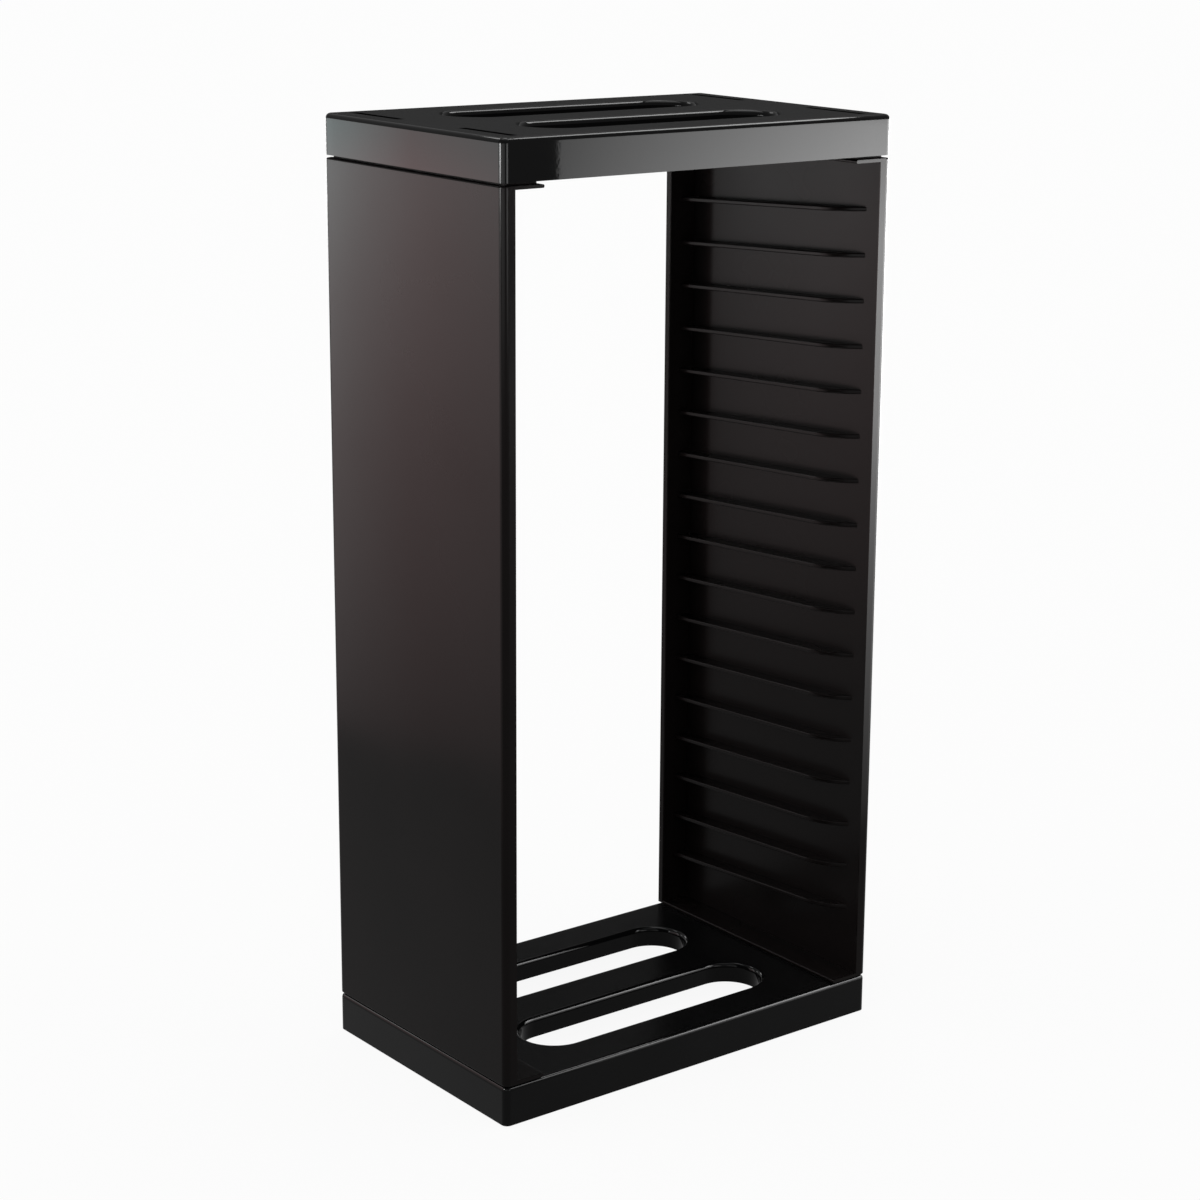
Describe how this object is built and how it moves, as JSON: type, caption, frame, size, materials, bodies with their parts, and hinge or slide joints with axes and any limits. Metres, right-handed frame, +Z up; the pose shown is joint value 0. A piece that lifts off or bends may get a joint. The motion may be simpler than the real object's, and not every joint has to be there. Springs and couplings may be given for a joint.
{
  "type": "cd rack",
  "caption": "Upright open rack of glossy black moulded plastic for flat disc cases: two slotted trays joined by side panels with sloping ledges.",
  "frame": {"origin": "on the surface the rack stands on, under its middle", "axes": "+Z up, -Y out of the open front, +X to the right seen from the front"},
  "size_m": [0.188, 0.1192, 0.38],
  "materials": {
    "tray_plastic": "black moulded plastic, glossy",
    "panel_plastic": "black moulded plastic, glossy",
    "pad_rubber": "matt black"
  },
  "bodies": {
    "root": {"base_tray": "tray_plastic", "top_tray": "tray_plastic", "left_panel": "panel_plastic", "right_panel": "panel_plastic", "foot_pad_front_left": "pad_rubber", "foot_pad_front_right": "pad_rubber", "foot_pad_rear_left": "pad_rubber", "foot_pad_rear_right": "pad_rubber"}
  },
  "joints": []
}
